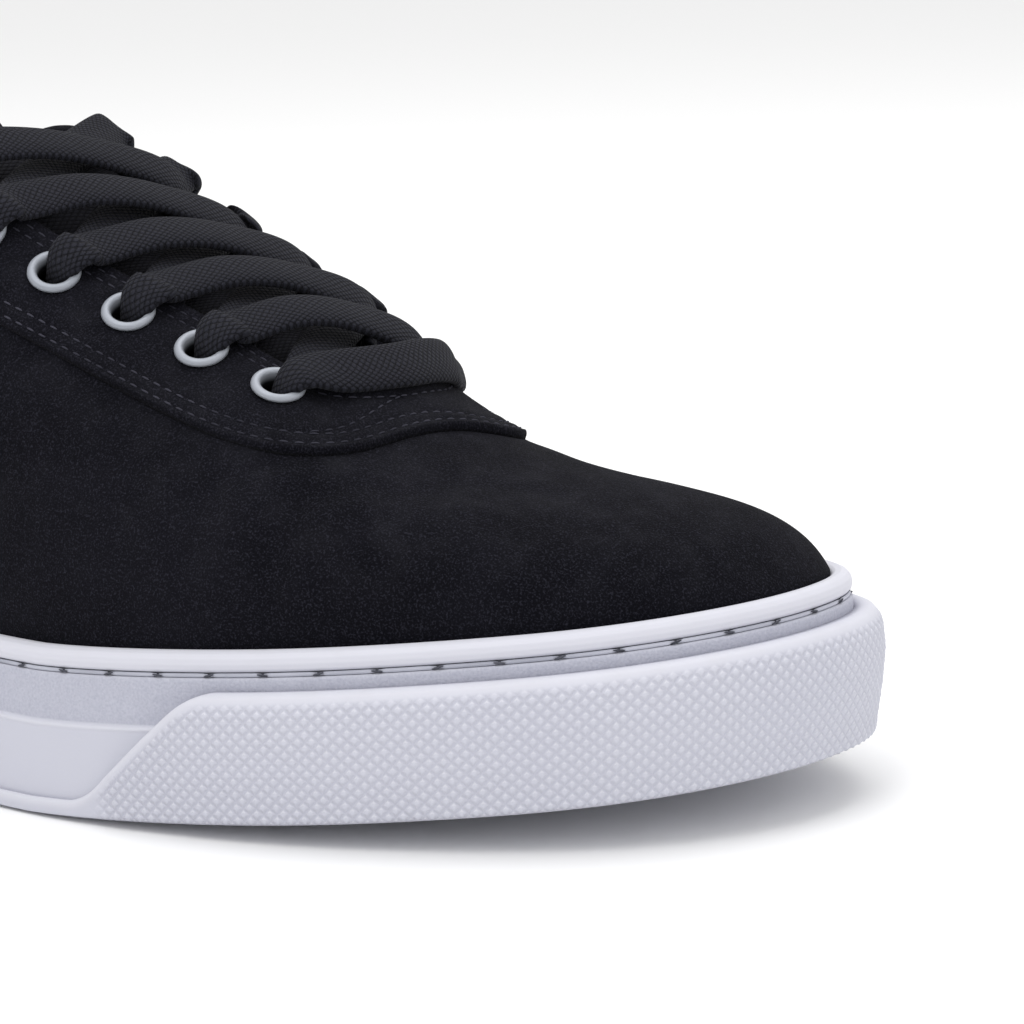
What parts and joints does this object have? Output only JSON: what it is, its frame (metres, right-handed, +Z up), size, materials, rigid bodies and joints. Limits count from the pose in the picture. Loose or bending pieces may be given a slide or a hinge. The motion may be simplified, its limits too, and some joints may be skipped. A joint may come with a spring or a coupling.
{
  "type": "skateboarding shoe",
  "caption": "Low skateboarding shoe in black suede with a pale cup sole, a textured toe bumper and flat laces, right foot, standing empty.",
  "frame": {"origin": "centre of the shoe's bounding box in plan, on the plane of the tread", "axes": "+X to the toe, +Y to the inner side of the foot, -Y to the outer side, +Z up"},
  "size_m": [0.2958, 0.1068, 0.1264],
  "materials": {
    "sole_rubber": "matte pale grey rubber",
    "suede": "black suede with a fine nap",
    "tongue_cloth": "black padded cloth",
    "insole_cloth": "black cloth over foam",
    "lace_weave": "flat woven cotton",
    "eyelet_metal": "grey plated metal",
    "lining_cloth": "black woven lining",
    "thread": "stitching thread"
  },
  "bodies": {
    "root": {"cupsole": "sole_rubber", "foxing": "sole_rubber", "insole": "insole_cloth", "upper": "suede", "tongue": "tongue_cloth", "eyestay": "suede", "eyelet_outer_1": "eyelet_metal", "eyelet_outer_2": "eyelet_metal", "eyelet_outer_3": "eyelet_metal", "eyelet_outer_4": "eyelet_metal", "eyelet_outer_5": "eyelet_metal", "eyelet_outer_6": "eyelet_metal", "eyelet_inner_1": "eyelet_metal", "eyelet_inner_2": "eyelet_metal", "eyelet_inner_3": "eyelet_metal", "eyelet_inner_4": "eyelet_metal", "eyelet_inner_5": "eyelet_metal", "eyelet_inner_6": "eyelet_metal", "lace_bar": "lace_weave", "lace_crossing_1": "lace_weave", "lace_crossing_2": "lace_weave", "lace_crossing_3": "lace_weave", "lace_crossing_4": "lace_weave", "lace_crossing_5": "lace_weave"}
  },
  "joints": []
}
